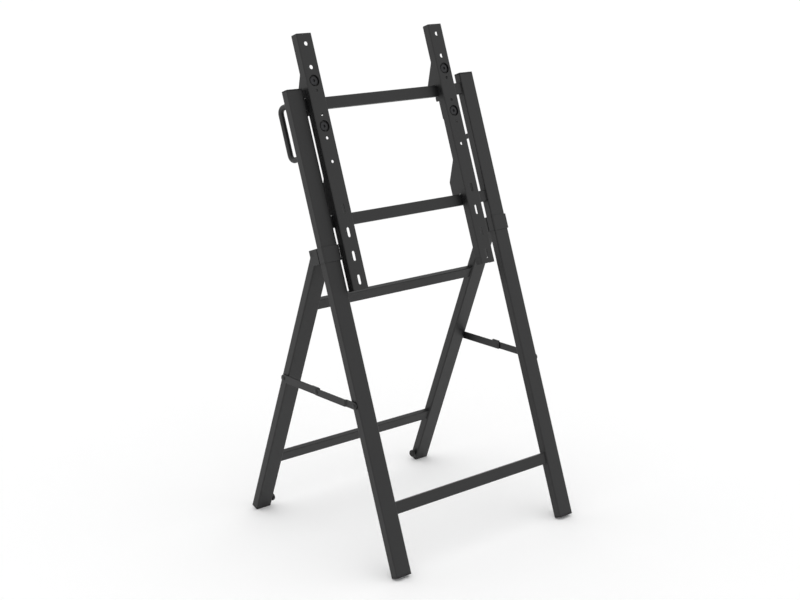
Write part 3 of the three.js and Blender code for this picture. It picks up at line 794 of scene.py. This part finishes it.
# a turned piece stands on its axis; this lays the axis from front to back, z of the profile as y
FACE_OUT = Matrix(((1, 0, 0, 0), (0, 0, 1, 0), (0, -1, 0, 0), (0, 0, 0, 1)))


def make_cup(side, name, x, height, body):
    """A drawn cup behind the arm's face, with a hole in its floor for the clamp screw."""
    mouth = -ARM_FACE + SHEET
    floor = -CUP_BASE - CUP_FLOOR
    outer = CUP_BORE + CUP_WALL
    profile = [
        (CUP_BORE, mouth + 0.05), (CUP_BORE, floor - 1.5), (CUP_BORE - 0.45, floor - 0.45),
        (CUP_BORE - 1.5, floor), (CUP_HOLE + 0.3, floor), (CUP_HOLE, floor + 0.3), (CUP_HOLE, -CUP_BASE),
        (outer - 1.6, -CUP_BASE), (outer - 0.5, -CUP_BASE - 0.5), (outer, -CUP_BASE - 1.6),
        (outer, mouth + 0.05),
    ]
    rings = []
    for radius, depth in profile:
        rings.append([(px, py, depth) for px, py in ring_circle(radius, 56)])
    cup = loft(f"{side}_{name}_cup", rings, closed=True)
    at = Matrix.Translation((x, 0, height)) @ FACE_OUT
    coated(cup, IN_FRONT @ at, body)


def make_clamp_screw(side, name, x, height, body):
    """Low-head socket screw: crowned rim, plain sides, hexagonal socket."""
    seat = -CUP_BASE - CUP_FLOOR - GAP
    top = seat - SCREW_RISE
    radius = SCREW_HEAD
    profile = [
        (0, top), (radius - 2.0, top), (radius - 0.9, top + 0.22), (radius - 0.3, top + 0.7),
        (radius, top + 1.3), (radius, seat - 0.2), (radius - 0.2, seat),
        (SCREW_SHANK, seat), (SCREW_SHANK, SCREW_TIP), (0, SCREW_TIP),
    ]
    screw = lathe(f"{side}_{name}_clamp_screw_turned", profile, 60)
    hexagon = ring_circle(HEXAGON, 6)
    levels = [[(px, py, z) for px, py in hexagon] for z in (top - 1, top + SOCKET_DEPTH)]
    socket = loft("socket", levels)
    carve(screw, socket)
    at = Matrix.Translation((x, 0, height)) @ FACE_OUT
    place(screw, IN_FRONT @ at, ZINC, body, "black_zinc", [f"{side}_{name}_clamp_screw"])


def make_clamp_bar(side, x, body):
    """The bar behind the top rail that both clamp screws pull against it."""
    middle = (CUP_HEIGHTS["upper"] + CUP_HEIGHTS["lower"]) / 2
    outline = [(px, py + middle) for px, py in ring_rect(BAR_WIDTH, BAR_LENGTH, BAR_CORNER)]
    holes = [ring_circle(BAR_HOLE, 32, 0, height) for height in CUP_HEIGHTS.values()]
    bar = pressed(side + "_clamp_bar_plate", outline, holes, BAR_THICK, 0.4)
    middle_y = -TUBE_DEPTH / 2 + RAIL_DEPTH / 2 + RAIL_SLACK + BAR_THICK / 2
    upright = Matrix(((1, 0, 0, x), (0, 0, -1, middle_y), (0, 1, 0, 0), (0, 0, 0, 1)))
    coated(bar, IN_FRONT @ upright, body, [side + "_clamp_bar"])


def make_arms():
    for side, _ in SIDES:
        make_arm(side)


# ---------------------------------------------------------------- rear frame
def make_leg(side, sign):
    """The rear leg: its top is rounded about the pivot and turns between the clevis cheeks."""
    x = sign * POST_X
    middle = TUBE_DEPTH / 2
    top = PIVOT_REAR.z + middle
    tube = hollow(side + "_leg_tube", TUBE_WIDTH, TUBE_DEPTH, TUBE_CORNER, PLUG + GAP, top + 5)
    tube.data.transform(Matrix.Translation((0, middle, 0)))
    profile = [(-5, -5), (TUBE_DEPTH + 5, -5), (TUBE_DEPTH + 5, PIVOT_REAR.z)]
    arc = []
    for step in range(25):
        angle = math.pi * step / 24
        arc.append((middle + middle * math.cos(angle), PIVOT_REAR.z + middle * math.sin(angle)))
    profile += arc + [(-5, PIVOT_REAR.z)]
    ends = [[(end, y, z) for y, z in profile] for end in (-30.0, 30.0)]
    carve(tube, loft("envelope", ends), keep=True)
    bore = lathe("bore", [(0, -30), (6.2, -30), (6.2, 30), (0, 30)], 40)
    bore.data.transform(Matrix.Translation((0, middle, PIVOT_REAR.z)) @ ALONG_X)
    carve(tube, bore)
    coated(tube, IN_REAR @ Matrix.Translation((x, 0, 0)), "rear_frame", [side + "_leg"])
    foot = plug(side + "_leg_foot_plug", x, middle, 0, -1)
    place(foot, IN_REAR, PLASTIC, "rear_frame", "moulded_plastic", [side + "_leg_foot"])


BUMPER_NECK, BUMPER_NECK_LENGTH, BUMPER_HEAD, BUMPER_HEAD_LENGTH = 4.0, 4.0, 8.5, 6.0
BUMPER_BORE, WELL, WELL_DEPTH = 3.3, 4.8, 2.5
STUD_SHANK, STUD_HEAD, STUD_TAIL, BELOW_RIM = 3.0, 4.4, 3.5, 0.4
CROSS = 0.9  # width of each arm of the recess


def make_bumper(side, sign):
    """A rubber stud on the leg's inner face, held by a screw down its middle."""
    low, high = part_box(side + "_leg_bumper")
    centre = IN_REAR.inverted() @ ((low + high) / 2 / MM)
    end = BUMPER_NECK_LENGTH + BUMPER_HEAD_LENGTH
    profile = [
        (BUMPER_BORE, 0), (BUMPER_NECK + 0.8, 0), (BUMPER_NECK, 0.8),
        (BUMPER_NECK, BUMPER_NECK_LENGTH - 0.6),
        (BUMPER_NECK + 0.7, BUMPER_NECK_LENGTH), (BUMPER_HEAD - 0.7, BUMPER_NECK_LENGTH),
        (BUMPER_HEAD, BUMPER_NECK_LENGTH + 0.7), (BUMPER_HEAD, end - 2.2), (BUMPER_HEAD - 0.5, end - 1.0),
        (BUMPER_HEAD - 1.5, end - 0.25), (BUMPER_HEAD - 2.8, end), (WELL + 0.3, end), (WELL, end - 0.3),
        (WELL, end - WELL_DEPTH), (BUMPER_BORE, end - WELL_DEPTH),
    ]
    rings = [[(px, py, z) for px, py in ring_circle(radius, 48)] for radius, z in profile]
    stud = loft(side + "_rubber_stud", rings, closed=True)
    inward = Matrix.Rotation(math.pi if sign > 0 else 0.0, 4, "Z") @ ALONG_X
    at = Matrix.Translation((sign * (INNER - GAP), centre.y, centre.z)) @ inward
    place(stud, IN_REAR @ at, RUBBER, "rear_frame", "rubber", [side + "_leg_bumper"])
    top = end - BELOW_RIM
    seat = end - WELL_DEPTH + GAP
    head = [
        (0, -STUD_TAIL), (STUD_SHANK, -STUD_TAIL), (STUD_SHANK, seat), (STUD_HEAD, seat),
        (STUD_HEAD, top - 0.7), (STUD_HEAD - 0.5, top - 0.2), (STUD_HEAD - 1.4, top), (0, top),
    ]
    screw = lathe(side + "_stud_screw", head, 40)
    for width, depth in ((STUD_HEAD, CROSS), (CROSS, STUD_HEAD)):
        carve(screw, cross_bar("recess", width, depth, top))
    place(screw, IN_REAR @ at, ZINC, "rear_frame", "black_zinc", [side + "_bumper_screw"])


def cross_bar(name, width, depth, top):
    """One arm of a cross recess, as deep at the middle as a driver reaches."""
    base = [(px, py, top - 1.3) for px, py in ring_rect(width * 0.55, depth * 0.8, 0.1, 2)]
    mouth = [(px, py, top + 0.5) for px, py in ring_rect(width, depth, 0.1, 2)]
    return loft(name, [base, mouth])


def make_rear_frame():
    for side, sign in SIDES:
        make_leg(side, sign)
        make_bumper(side, sign)


# ---------------------------------------------------------------- braces
LINK_THICK, REAR_HALF, FRONT_HALF, STAND_OFF, JOGGLE = 2.5, 8.5, 7.75, 0.8, 28.0
TAB_AHEAD, TAB_BEHIND, TAB_RISE = 6.5, 14.5, 2.2
RIVET, RIVET_HEAD, MID_HEAD, HEAD_RISE, TAIL = 3.0, 4.5, 5.5, 1.8, 4.8
LINK_IN = OUTER + STAND_OFF
LINK_OUT = LINK_IN + LINK_THICK + GAP


def joint_at(name):
    """A joint's place in millimetres in the row's frame."""
    joint = next(j for j in frame["joints"] if j["name"] == name)
    return Vector(joint["pos_m"]) / MM


LEG_PIN = joint_at("left_rear_link_hinge")
MID_PIN = joint_at("left_front_link_hinge")
post_rivet_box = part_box("left_post_rivet")
POST_PIN = (post_rivet_box[0] + post_rivet_box[1]) / 2 / MM

# x out from the stand's middle plane, y back, z up from the brace's middle line
BRACE = Matrix.Translation((0, 0, MID_PIN.z))
MIRROR = Matrix.Scale(-1, 4, (1, 0, 0))


def side_matrix(sign):
    return BRACE if sign > 0 else BRACE @ MIRROR


# a plate is drawn with its x as the stand's y and its y as the stand's z, thickness outwards
PLATE_OUT = Matrix(((0, 0, 1, 0), (1, 0, 0, 0), (0, 1, 0, 0), (0, 0, 0, 1)))


def make_rear_link(side, sign):
    """Inner link: round at the leg, square past the middle joint, its stop tab folded outwards."""
    nose = MID_PIN.y - REAR_HALF
    back = LEG_PIN.y + REAR_HALF
    fold_start = REAR_HALF + TAB_RISE - LINK_THICK - 0.4
    bend = LINK_THICK / 2 + 0.4
    arc = bend * math.pi / 2
    middle = LINK_IN + LINK_THICK / 2
    straight = LINK_OUT + LINK_THICK - middle - bend
    tip = fold_start + arc + straight
    ahead, behind = MID_PIN.y - TAB_AHEAD, MID_PIN.y + TAB_BEHIND
    half = REAR_HALF
    outline = rounded([
        (nose, -half, 1.5), (back, -half, half - 0.01), (back, half, half - 0.01), (behind, half, 0.6),
        (behind, tip, 0.8), (ahead, tip, 0.8), (ahead, half, 0.6), (nose, half, 1.2),
    ])
    holes = [ring_circle(RIVET + 0.2, 32, LEG_PIN.y, 0), ring_circle(RIVET + 0.2, 32, MID_PIN.y, 0)]
    link = pressed(side + "_rear_link_plate", outline, holes, LINK_THICK, 0.35)
    slice_at(link, 1, [fold_start + arc * step / 5 for step in range(6)])

    def fold_tab(point):
        along, up, out = point
        run = up - fold_start
        if run <= 0:
            return Vector((along, up, out))
        if run < arc:
            angle = run / bend
            reach = bend - out
            return Vector((along, fold_start + reach * math.sin(angle), bend - reach * math.cos(angle)))
        return Vector((along, fold_start + bend - out, bend + run - arc))

    reshape(link, fold_tab)
    turn_out(link)
    at = side_matrix(sign) @ Matrix.Translation((middle, 0, 0)) @ PLATE_OUT
    coated(link, at, side + "_rear_brace", [side + "_rear_link"])


def make_front_link(side, sign):
    """Outer link: over the inner one at the middle joint, stepping in towards the post."""
    half = FRONT_HALF
    front, back = POST_PIN.y - half, MID_PIN.y + half
    near = half - 0.01
    outline = rounded([(front, -half, near), (back, -half, near), (back, half, near), (front, half, near)])
    holes = [ring_circle(RIVET + 0.2, 32, POST_PIN.y, 0), ring_circle(RIVET + 0.2, 32, MID_PIN.y, 0)]
    link = pressed(side + "_front_link_plate", outline, holes, LINK_THICK, 0.35)
    step_back = POST_PIN.y + JOGGLE
    step_front = step_back - LINK_THICK * 1.4
    count = 8
    slice_at(link, 0, [step_front + (step_back - step_front) * i / count for i in range(count + 1)])
    offset = LINK_OUT - LINK_IN

    def joggle(point):
        along, up, out = point
        share = min(max((along - step_front) / (step_back - step_front), 0.0), 1.0)
        eased = share * share * (3 - 2 * share)
        return Vector((along, up, out + offset * eased))

    reshape(link, joggle)
    at = side_matrix(sign) @ Matrix.Translation((LINK_IN + LINK_THICK / 2, 0, 0)) @ PLATE_OUT
    coated(link, at, side + "_front_brace", [side + "_front_link"])


def make_rivet(name, body, node, sign, start, seat, head, y):
    """A domed rivet head on its shank, pointing away from the stand."""
    profile = [(0, start), (RIVET, start)]
    if head == MID_HEAD:  # this one's tail is spread flat on the inner link
        inner, outer = start - 0.55, start - 0.15
        profile = [(0, inner), (TAIL - 0.2, inner), (TAIL, inner + 0.15), (TAIL, outer), (RIVET, outer)]
    profile += [(RIVET, seat), (head - 0.15, seat), (head, seat + 0.15), (head, seat + 0.45)]
    for step in range(1, 9):
        angle = step / 8 * math.pi / 2
        profile.append((head * math.cos(angle), seat + 0.45 + (HEAD_RISE - 0.45) * math.sin(angle)))
    profile[-1] = (0, seat + HEAD_RISE)
    rivet = lathe(name, profile, 40)
    at = side_matrix(sign) @ Matrix.Translation((0, y, 0)) @ PLATE_OUT
    place(rivet, at, COAT, body, "powder_coat", [node], degrees=40)


def make_braces():
    inner_seat = LINK_IN + LINK_THICK + 0.1
    outer_seat = LINK_OUT + LINK_THICK + 0.1
    for side, sign in SIDES:
        make_rear_link(side, sign)
        make_front_link(side, sign)
        rows = (
            ("leg", "rear_frame", OUTER - 3.5, inner_seat, RIVET_HEAD, LEG_PIN.y),
            ("mid", side + "_rear_brace", LINK_IN + 0.1, outer_seat, MID_HEAD, MID_PIN.y),
            ("post", side + "_front_brace", LINK_IN + 0.1, inner_seat, RIVET_HEAD, POST_PIN.y),
        )
        for name, body, start, seat, head, y in rows:
            node = f"{side}_{name}_rivet"
            make_rivet(node + "_domed", body, node, sign, start, seat, head, y)


# ---------------------------------------------------------------- CAD pieces that stay
def finish_cad_nodes():
    finishes = {"powder_coat": COAT, "black_zinc": ZINC, "moulded_plastic": PLASTIC, "rubber": RUBBER}
    slots = {row["node"]: row["material_slot"] for row in frame["record"]["subparts"]}
    for name, piece in nodes.items():
        piece.data.materials.clear()
        piece.data.materials.append(finishes[slots[name]])


# ---------------------------------------------------------------- studio
def make_floor():
    bm = bmesh.new()
    size = 80.0
    corners = [bm.verts.new((x * size, y * size, -0.0005)) for x, y in ((-1, -1), (1, -1), (1, 1), (-1, 1))]
    bm.faces.new(corners)
    mesh = bpy.data.meshes.new("studio_floor")
    bm.to_mesh(mesh)
    bm.free()
    floor = new_object("studio_floor", mesh)
    floor.data.materials.append(studio_paper())


def make_studio():
    make_floor()
    world = bpy.data.worlds.new("studio")
    world.use_nodes = True
    background = world.node_tree.nodes["Background"]
    background.inputs["Color"].default_value = (1, 1, 1, 1)
    background.inputs["Strength"].default_value = 1.04
    bpy.context.scene.world = world
    bpy.context.scene.view_settings.view_transform = "Standard"


make_posts()
make_rails()
make_hinges_and_handles()
make_arms()
make_rear_frame()
make_braces()
finish_cad_nodes()
make_studio()
